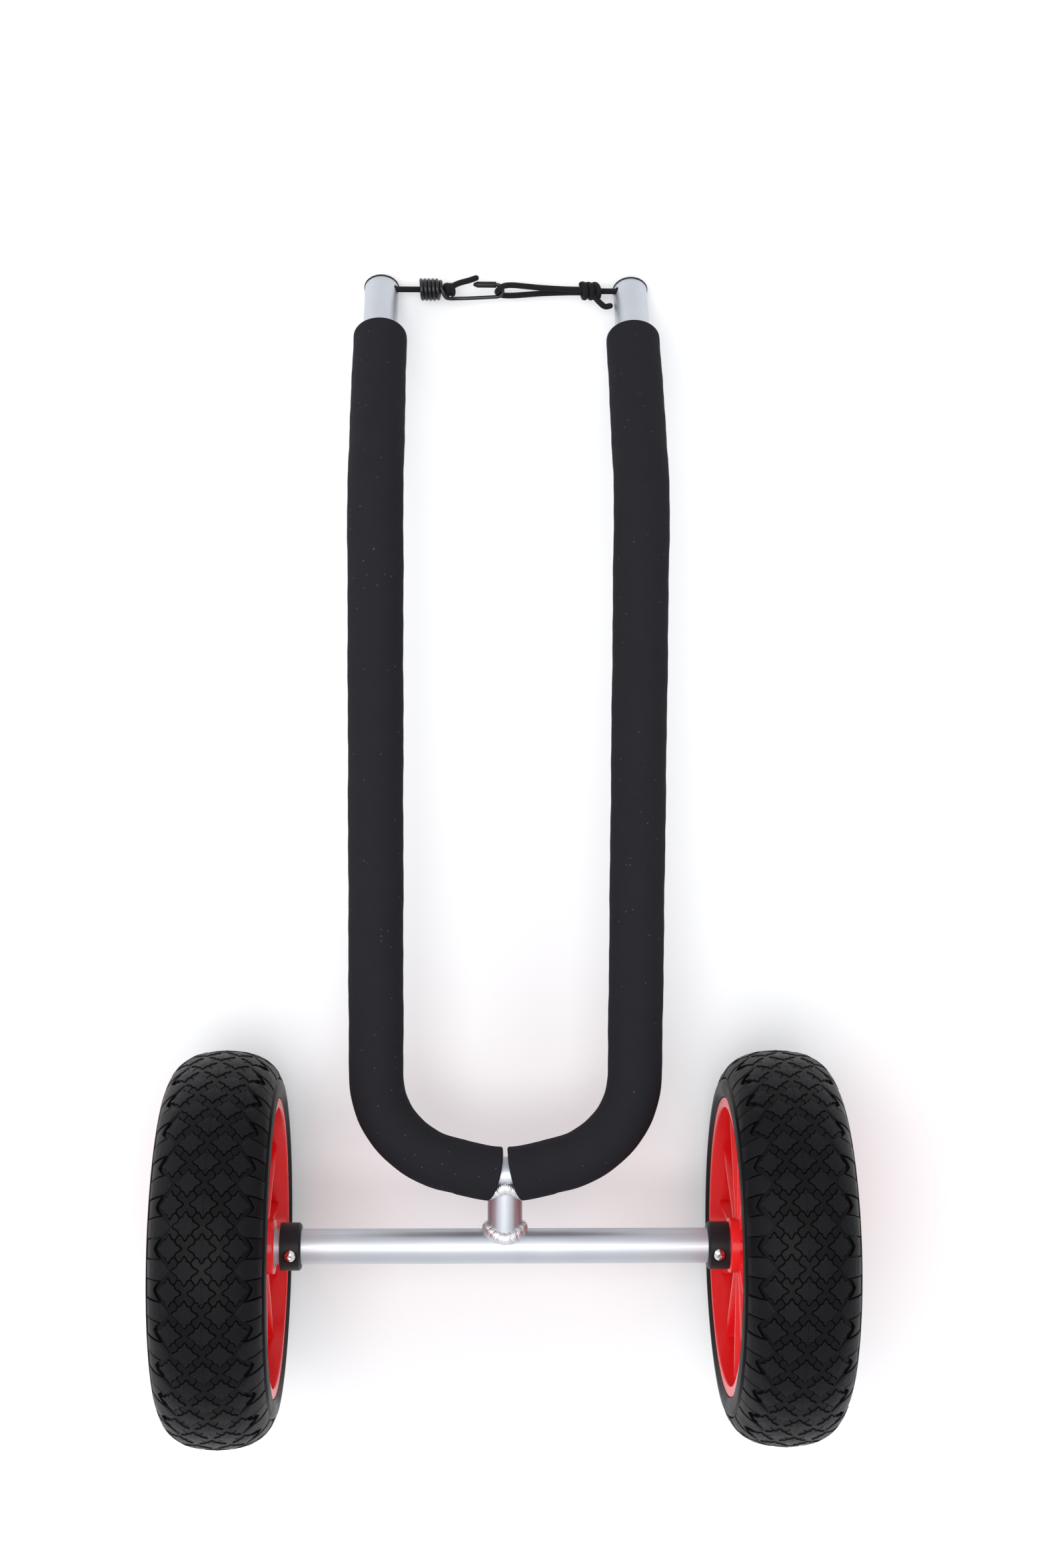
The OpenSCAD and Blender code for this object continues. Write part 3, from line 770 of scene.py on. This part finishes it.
def arm_line():
    """Centreline of the right half of the cradle from its middle to the tube's end, from the axle."""
    tip_len = (TYRE_R - PLUG_RIM_R * math.cos(BEND_ANGLE)) / math.sin(BEND_ANGLE) - PLUG_RIM
    tangent = BEND_R * math.tan(BEND_ANGLE / 2)
    a = np.linspace(0, SLOPE, 12)
    shallow = np.column_stack([SHALLOW_R * np.sin(a), POST_RISE + SHALLOW_R * (1 - np.cos(a)), 0 * a])
    corner_x = ARM_X - CORNER_R
    start_x = corner_x + CORNER_R * math.sin(SLOPE)
    rise = (start_x - shallow[-1, 0]) * math.tan(SLOPE)
    corner_y = shallow[-1, 1] + rise + CORNER_R * math.cos(SLOPE)
    a = np.linspace(SLOPE - math.pi / 2, 0, 60)
    corner = np.column_stack([corner_x + CORNER_R * np.cos(a), corner_y + CORNER_R * np.sin(a), 0 * a])
    a = np.linspace(0, BEND_ANGLE, 36)
    bend = np.column_stack([ARM_X + 0 * a, BEND_Y - tangent + BEND_R * np.sin(a), BEND_R * (np.cos(a) - 1)])
    tip = [(ARM_X, BEND_Y + tip_len * math.cos(BEND_ANGLE), -tip_len * math.sin(BEND_ANGLE))]
    return resampled(np.vstack([shallow, corner, bend, tip]), 1.0)


class Sleeve:
    """Places on the foam of the right half, by distance along the tube, angle round it and radius."""

    def __init__(self):
        self.line = arm_line()
        heads = headings(self.line)
        self.side = carried_sides(heads, (0, 0, 1))
        self.other = np.cross(heads, self.side)
        self.step = np.linalg.norm(self.line[1] - self.line[0])
        self.length = self.step * (len(self.line) - 1)

    def at(self, s, angle, r):
        i = np.clip(s / self.step, 0, len(self.line) - 1.001)
        k, f = int(i), i - int(i)
        place, side, other = ((1 - f) * v[k] + f * v[k + 1] for v in (self.line, self.side, self.other))
        return place + r * (math.cos(angle) * other + math.sin(angle) * side)

    def gap_start(self, angle, r):
        """Distance along the tube at which the foam starts beside the post."""
        low, high = 0.0, 40.0
        for _ in range(24):
            s = (low + high) / 2
            x, y, _ = self.at(s, angle, r)
            down = np.clip((POST_RISE + FOAM_R - y) / (2 * FOAM_R), 0, 1)
            if x < GAP_TOP + (GAP_BOTTOM - GAP_TOP) * down ** GAP_BULGE:
                low = s
            else:
                high = s
        return high


def foam_swell(s, angle):
    """Small unevenness of the foam's skin, in three waves along and round it."""
    return (0.12 * math.sin(s / 17 + 2 * math.cos(angle)) + 0.10 * math.sin(s / 7.3 + 3 * angle)
            + 0.07 * math.sin(s / 3.1 - 2 * angle))


def foam_rings(tube, angles):
    """Rings round one sleeve: its end beside the post, its skin, its far end and its bore."""
    end = tube.length - BARE_TIP
    lip = [(FOAM_EDGE * (1 - math.sin(t)), FOAM_R - FOAM_EDGE * (1 - math.cos(t)), math.cos(t))
           for t in np.linspace(0, math.pi / 2, FOAM_EDGE_RINGS)]
    rings = [[tube.at(tube.gap_start(a, r) + inwards, a, r) for a in angles]
             for inwards, r in [(0.0, FOAM_BORE_R)] + [row[:2] for row in lip[::-1]]]
    starts = [tube.gap_start(a, FOAM_R) + FOAM_EDGE for a in angles]
    for share in np.linspace(0, 1, GAP_RINGS + 2)[1:-1]:
        rings.append([tube.at(s + share * (SQUARE_FROM - s), a, FOAM_R + foam_swell(FOAM_EDGE, a) * share)
                      for s, a in zip(starts, angles)])
    for s in np.arange(SQUARE_FROM, end - FOAM_EDGE - 1, SKIN_STEP):
        rings.append([tube.at(s, a, FOAM_R + foam_swell(s, a)) for a in angles])
    for inwards, r, share in lip:
        rings.append([tube.at(end - inwards, a, r + foam_swell(end, a) * share) for a in angles])
    for s in np.append(np.arange(end, SQUARE_FROM, -BORE_STEP), 0.8 * SQUARE_FROM):
        rings.append([tube.at(s, a, FOAM_BORE_R) for a in angles])
    return rings


def make_foam(label, sign):
    """One sleeve, with rounded ends, from the post to the bare tip."""
    around = FOAM_SIDES
    rings = foam_rings(Sleeve(), np.arange(around) * 2 * math.pi / around)
    n = len(rings)
    points = np.array(rings).reshape(-1, 3) * (sign, 1, 1)
    faces = [(i * around + k, i * around + (k + 1) % around,
              (i + 1) % n * around + (k + 1) % around, (i + 1) % n * around + k)
             for i in range(n) for k in range(around)]
    piece = Shell().add(points, faces).piece("foam_sleeve_" + label, FOAM, AXLE, sharp=80)
    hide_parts("foam_" + label)
    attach(piece, "frame")


# ---- Ring of slices, for the tyres and hubs ----

def make_ring_tree():
    """Repeats a slice round an axle through a centre, joins the slices and gives them a finish."""
    tree = bpy.data.node_groups.new("slices_round_axle", "GeometryNodeTree")
    for label, kind, value in (("Slice", "Geometry", None), ("Count", "Int", 12),
                               ("Centre", "Vector", None), ("Join Within", "Float", 0.00001),
                               ("Finish", "Material", None)):
        socket = tree.interface.new_socket(label, in_out="INPUT", socket_type="NodeSocket" + kind)
        if value is not None:
            socket.default_value = value
    tree.interface.new_socket("Ring", in_out="OUTPUT", socket_type="NodeSocketGeometry")
    inp, out = tree.nodes.new("NodeGroupInput"), tree.nodes.new("NodeGroupOutput")
    points = tree.nodes.new("GeometryNodePoints")
    index = tree.nodes.new("GeometryNodeInputIndex")
    angles = tree.nodes.new("ShaderNodeCombineXYZ")
    euler = tree.nodes.new("FunctionNodeEulerToRotation")
    place = tree.nodes.new("GeometryNodeInstanceOnPoints")
    real = tree.nodes.new("GeometryNodeRealizeInstances")
    weld = tree.nodes.new("GeometryNodeMergeByDistance")
    paint = tree.nodes.new("GeometryNodeSetMaterial")
    share = math_node(tree, "DIVIDE", 2 * math.pi, inp.outputs["Count"])
    turn = math_node(tree, "MULTIPLY", index.outputs[0], share)
    link_all(tree, (
        (inp.outputs["Count"], points.inputs["Count"]), (inp.outputs["Centre"], points.inputs["Position"]),
        (turn, angles.inputs[0]), (angles.outputs[0], euler.inputs[0]),
        (points.outputs[0], place.inputs["Points"]), (inp.outputs["Slice"], place.inputs["Instance"]),
        (euler.outputs[0], place.inputs["Rotation"]), (place.outputs[0], real.inputs[0]),
        (real.outputs[0], weld.inputs["Geometry"]), (inp.outputs["Join Within"], weld.inputs["Distance"]),
        (weld.outputs[0], paint.inputs["Geometry"]), (inp.outputs["Finish"], paint.inputs["Material"]),
        (paint.outputs[0], out.inputs[0])))
    return tree


RING_TREE = make_ring_tree()


def ring_of(shell, name, material, centre, count, sharp):
    """A plain mesh of count slices round the axle at the centre."""
    obj = shell.piece(name, material, sharp=0)
    modifier = obj.modifiers.new("slices", "NODES")
    modifier.node_group = RING_TREE
    values = {"Count": count, "Centre": tuple(centre), "Finish": material}
    for socket in RING_TREE.interface.items_tree:
        if socket.name in values:
            modifier[socket.identifier] = values[socket.name]
    deps = bpy.context.evaluated_depsgraph_get()
    mesh = bpy.data.meshes.new_from_object(obj.evaluated_get(deps), preserve_all_data_layers=True,
                                           depsgraph=deps)
    obj.modifiers.remove(modifier)
    slice_mesh, obj.data = obj.data, mesh
    bpy.data.meshes.remove(slice_mesh)
    mesh.name = name
    outwards(obj)
    mesh.set_sharp_from_angle(angle=math.radians(sharp))
    return obj


# ---- Tyres ----

def crown_table():
    """The tyre's outer profile by distance from its middle: x, radius and arc length."""
    a = np.radians(np.linspace(90, 0, 600))
    x = TYRE_HALF * np.cos(a) ** (2 / CROWN_POWER)
    r = CROWN_START_R + (TYRE_R - CROWN_START_R) * np.sin(a) ** (2 / CROWN_POWER)
    arc = np.concatenate([[0], np.cumsum(np.hypot(np.diff(x), np.diff(r)))])
    return arc, x, r


ARC, CROWN_X, CROWN_R = crown_table()


def on_crown(across, height):
    """(x, r) at an arc distance across the tyre, at a height above the bottom of the grooves."""
    s, small = abs(across), 0.2
    x0, x1 = np.interp((max(s - small, 0), s + small), ARC, CROWN_X)
    r0, r1 = np.interp((max(s - small, 0), s + small), ARC, CROWN_R)
    length = math.hypot(x1 - x0, r1 - r0)
    lift = height - TREAD_DEPTH
    x = np.interp(s, ARC, CROWN_X) - lift * (r1 - r0) / length
    r = np.interp(s, ARC, CROWN_R) + lift * (x1 - x0) / length
    return math.copysign(x, across), r


def on_tyre(across, along, height):
    """Point of the tyre at arc distances across and along its tread."""
    x, r = on_crown(across, height)
    return x, r * math.cos(along / TYRE_R), r * math.sin(along / TYRE_R)


def diamond_reach(angle, grow):
    """How far a diamond reaches along a lattice direction, as a share of the spacing."""
    row = math.pi * TYRE_R / PITCHES
    soft = lambda v: math.sqrt(v * v + DIAMOND_SOFTNESS)
    a = soft(COLUMN * math.cos(angle) / (DIAMOND[0] + grow)) ** DIAMOND_POWER
    b = soft(row * math.sin(angle) / (DIAMOND[1] + grow)) ** DIAMOND_POWER
    waist = 1 - WAIST * (1 - math.cos(8 * angle)) / 2
    return waist * (a + b) ** (-1 / DIAMOND_POWER)


def diamond_outline():
    row = math.pi * TYRE_R / PITCHES
    out = []
    for k in range(DIAMOND_POINTS):
        a = 2 * math.pi * k / DIAMOND_POINTS
        t = diamond_reach(a, 0)
        out.append((t * COLUMN * math.cos(a), t * row * math.sin(a)))
    return np.array(out)


CROSS_TURNS = np.radians((43, 35, 26, 17, 8, 0, -8, -17, -26, -35, -43))


def cross_outline():
    """Four scallops that follow the neighbouring diamonds, with a groove between."""
    row = math.pi * TYRE_R / PITCHES
    out = []
    for quarter in range(4):
        mid = quarter * math.pi / 2
        centre = np.array((COLUMN * math.cos(mid), row * math.sin(mid)))
        for turn in CROSS_TURNS:
            a = mid + math.pi + turn
            t = diamond_reach(a, GROOVE)
            out.append(centre + t * np.array((COLUMN * math.cos(a), row * math.sin(a))))
    return np.array(out)


def inset(outline, by):
    """The outline moved inwards by a distance."""
    heads = np.roll(outline, -1, axis=0) - np.roll(outline, 1, axis=0)
    heads = heads / np.linalg.norm(heads, axis=1)[:, None]
    return outline + by * np.column_stack([-heads[:, 1], heads[:, 0]])


def add_block(shell, outline, across, along, height, dome, mask, bevel=0.4):
    """A raised block of the tread round a centre point, with drafted walls and a bevelled edge."""
    rings = [(inset(outline, -BLOCK_DRAFT), -BLOCK_ROOT), (outline, height - 0.85 * bevel),
             (inset(outline, bevel), height)]
    n = len(outline)
    verts = [on_tyre(across + u, along + v, h) for ring, h in rings for u, v in ring]
    verts.append(on_tyre(across, along, height + dome))
    faces = [(i * n + k, i * n + (k + 1) % n, (i + 1) * n + (k + 1) % n, (i + 1) * n + k)
             for i in range(2) for k in range(n)]
    faces += [(2 * n + k, 2 * n + (k + 1) % n, 3 * n) for k in range(n)]
    faces.append(tuple(range(n))[::-1])
    shell.add(verts, faces, mask=mask)


PARTING_RIDGE = np.array([(0.2, -7.4), (0.2, 0), (0.2, 7.4), (0, 7.8), (-0.2, 7.4), (-0.2, 0), (-0.2, -7.4),
                          (0, -7.8)])


def add_shoulder(shell, side, along, pointed, mask):
    """A block at the tyre's shoulder: its inner end is half a diamond, or hollow round one."""
    row = math.pi * TYRE_R / PITCHES
    half = row / 2 - GROOVE / 2
    lines = np.array((-1, -0.93, -0.5, 0, 0.5, 0.93, 1)) * half
    cols = np.array((0, 0.05, 0.25, 0.5, 0.75, 0.96, 1))
    grid = []
    for v in lines:
        if pointed:
            inner = 3 * COLUMN - DIAMOND[0] * (1 - (abs(v) / DIAMOND[1]) ** SHOULDER_CURVE) - 0.4
        else:
            reach, half_high = DIAMOND[0] + GROOVE, DIAMOND[1] + GROOVE
            inner = 2 * COLUMN + reach * (1 - (abs(v) / half_high) ** SHOULDER_CURVE) + 0.4
        outer = SHOULDER_END - (0.8 if abs(v) > 0.95 * half else 0)
        grid.append([(inner + (outer - inner) * c, v) for c in cols])
    rows, n = len(lines), len(cols)
    edge = lambda i, j: i in (0, rows - 1) or j in (0, n - 1)
    height = DIAMOND_H if pointed else CROSS_H + 0.3
    verts = [on_tyre(side * u, along + v, height - (0.35 if edge(i, j) else 0))
             for i, line in enumerate(grid) for j, (u, v) in enumerate(line)]
    faces = [(i * n + j, i * n + j + 1, (i + 1) * n + j + 1, (i + 1) * n + j)
             for i in range(rows - 1) for j in range(n - 1)]
    border = ([(0, j) for j in range(n)] + [(i, n - 1) for i in range(1, rows)]
              + [(rows - 1, j) for j in range(n - 2, -1, -1)] + [(i, 0) for i in range(rows - 2, 0, -1)])
    base = len(verts)
    verts += [on_tyre(side * grid[i][j][0], along + grid[i][j][1], -BLOCK_ROOT) for i, j in border]
    m = len(border)
    faces += [(border[k][0] * n + border[k][1], base + k, base + (k + 1) % m,
               border[(k + 1) % m][0] * n + border[(k + 1) % m][1]) for k in range(m)]
    faces.append(tuple(base + k for k in range(m)))
    shell.add(verts, faces, mask=mask)


def carcass_profile():
    """The tyre under its blocks, with fine raised lines on its sidewalls, down to its beads."""
    out = []
    wall = np.linspace(SHOULDER_END - 2, ARC[-1], 26)
    floor = np.linspace(4 - SHOULDER_END, SHOULDER_END - 4, 29)
    for s in np.concatenate([-wall[::-1], floor, wall]):
        rise = np.clip((abs(s) - SHOULDER_END) / 3, 0, 1)
        line = 0.25 if abs(s) > SHOULDER_END + 3.5 and math.sin(abs(s) * 2.6) > 0.55 else 0
        out.append(on_crown(s, TREAD_DEPTH * rise - line))
    bead = [(LIP_X, LIP_R + 0.3), (LIP_X - LIP_T - 0.1, LIP_R + 0.3), (LIP_X - LIP_T - 0.1, SEAT_R)]
    return out + bead + [(-x, r) for x, r in bead[::-1]]


def tyre_slice():
    """One pitch of the tyre: two rows of blocks on a sector of the carcass."""
    shell = Shell()
    row = math.pi * TYRE_R / PITCHES
    shell.add(*turned(carcass_profile(), -row / TYRE_R / 2, 1.5 * row / TYRE_R, 6))
    diamond, cross = diamond_outline(), cross_outline()
    # The last number of each block is its raised mask. It picks the block's bump, and how far its colour
    # rises above the carcass, which is painted darker as shade in the grooves.
    for j in (0, 1):
        for i in range(-2, 3):
            if (i + j) % 2 == 0:
                add_block(shell, diamond, i * COLUMN, j * row, DIAMOND_H, 0.35, 1.0)
                if i == 0:
                    add_block(shell, PARTING_RIDGE, 0, j * row, DIAMOND_H + 0.45, 0.0, 0.3, bevel=0.08)
            else:
                add_block(shell, cross, i * COLUMN, j * row, CROSS_H, 0.0, 0.15)
        for side in (-1, 1):
            pointed = (3 + j) % 2 == 0
            add_shoulder(shell, side, j * row, pointed, 1.0 if pointed else 0.3)
    return shell


def make_tyres():
    for label in SIDES:
        tyre = ring_of(tyre_slice(), "tyre_" + label + "_treaded", RUBBER, centre_of("tyre_" + label),
                       PITCHES, 32)
        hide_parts("tyre_" + label)
        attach(tyre, "wheel_" + label)


# ---- Hubs ----

def hub_profile():
    """Half section of the hub through its barrel, lips, web and boss."""
    half = [(LIP_X, BARREL_R + 0.6, 1.2), (WEB_HALF, BARREL_R, 2.5), (WEB_HALF, BOSS_R + 0.8, 2.5),
            (BOSS_HALF, BOSS_R, 1.3), (BOSS_HALF, BUSH_R, 0.4), (BOSS_HALF - 22.5, BUSH_R, 0),
            (BOSS_HALF - 22.5, TUBE_R + 0.8, 0)]
    rim = [(LIP_X - LIP_T, SEAT_R, 0.5), (LIP_X - LIP_T, LIP_R, 0.7), (LIP_X, LIP_R, 1.0)]
    right = rim + half
    return rounded(right + [(-x, r, f) for x, r, f in right[::-1]])


def rib_solid():
    """A gusset rib through the web, thicker at its root and where it meets the boss and barrel."""
    side = [(RIB_EDGE, 0), (RIB_EDGE - 0.3, 1.1), (RIB_EDGE - 1.3, 1.7), (6, 2.0), (3.4, 2.8), (1.6, 4.4)]
    outline = side + [(-x, t) for x, t in side[::-1]]
    outline = outline + [(x, -t) for x, t in outline[-2:0:-1]]
    n = len(outline)
    stations = [(BOSS_R - 1.2, 1.9, 0.6), (BOSS_R + 0.8, 1.35, 0.5), (BOSS_R + 3, 1.0, 0.3),
                (BARREL_R - 4, 1.0, -0.6), (BARREL_R - 1.2, 1.35, -0.7), (BARREL_R + 1.2, 2.0, -0.8)]
    verts = [(x + math.copysign(lift, x) if abs(x) > 20 else x, r, t * wide)
             for r, wide, lift in stations for x, t in outline]
    faces = [(i * n + k, i * n + (k + 1) % n, (i + 1) * n + (k + 1) % n, (i + 1) * n + k)
             for i in range(len(stations) - 1) for k in range(n)]
    faces += [tuple(range(n))[::-1], tuple((len(stations) - 1) * n + k for k in range(n))]
    return verts, faces


def make_hubs():
    step = 2 * math.pi / RIB_COUNT
    for label in SIDES:
        shell = Shell().add(*turned(hub_profile(), -step / 2, step / 2, 10))
        shell.add(*rib_solid())
        hub = ring_of(shell, "hub_" + label + "_moulded", RED, centre_of("hub_" + label), RIB_COUNT, 40)
        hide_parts("hub_" + label)
        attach(hub, "wheel_" + label)


# ---- Welds ----

def make_weld(name, node, base, way, dip):
    """A fat rippled bead round the post where it meets a tube, nearer to the tube at the front."""
    steps, around = WELD_STEPS, WELD_SIDES
    a = np.arange(steps) * 2 * math.pi / steps
    wander = 0.35 * np.sin(3 * a + 1) + 0.25 * np.sin(7 * a)
    ring_r = WELD_RING_R + 0.3 * wander
    rise = WELD_SIDE - dip * np.sin(a) ** 2 + 0.5 * wander
    line = np.column_stack([ring_r * np.cos(a), base + way * rise, ring_r * np.sin(a)])
    heads = headings(line, closed=True)
    out = line * (1, 0, 1) / ring_r[:, None]
    up = np.cross(heads, out)
    along = np.concatenate([[0], np.cumsum(np.linalg.norm(np.diff(line, axis=0), axis=1))])
    round_length = along[-1] * steps / (steps - 1)
    ripples, fine = round(round_length / RIPPLE), round(round_length / FINE_RIPPLE)
    turn = np.arange(around) * 2 * math.pi / around
    phase = along[:, None] / round_length * 2 * math.pi
    bent = 0.9 * np.cos(turn)[None, :] ** 2
    saw = np.abs(np.sin(ripples * phase / 2 + bent * 1.4))
    size = 1 + 0.13 * (saw ** 0.6 - 0.6) + 0.022 * np.sin(fine * phase + 3 * bent)
    across = WELD_BROAD * np.cos(turn)[None, :, None] * up[:, None, :]
    thick = WELD_THICK * np.sin(turn)[None, :, None] * out[:, None, :]
    verts = (line[:, None, :] + size[:, :, None] * (across + thick)).reshape(-1, 3)
    faces = [(i * around + k, i * around + (k + 1) % around, (i + 1) % steps * around + (k + 1) % around,
              (i + 1) % steps * around + k) for i in range(steps) for k in range(around)]
    weld = Shell().add(verts, faces).piece(name, WELD, AXLE, sharp=80)
    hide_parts(node)
    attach(weld, "frame")


# ---- The cart ----

place_camera()
make_bungee()
make_stage()
for label, sign in SIDES.items():
    make_foam(label, sign)
make_tyres()
make_hubs()
make_weld("axle_weld_bead", "axle_weld", 0, 1, AXLE_WELD_DIP)
make_weld("cradle_weld_bead", "cradle_weld", POST_RISE, -1, CRADLE_WELD_DIP)

NODE_FINISH = {
    "axle_tube": AXLE_METAL, "post_tube": CRADLE_METAL, "cradle_tube": CRADLE_METAL,
    "tip_plug": PLUG, "collar_screw": STEEL, "collar": COLLAR, "bush": NYLON, "washer": STEEL,
    "lock_pin": STEEL, "anchor_knot": BRAID}
for name, node in nodes.items():
    if not node.hide_render:
        start = next(key for key in NODE_FINISH if name.startswith(key))
        finish_node(name, NODE_FINISH[start])
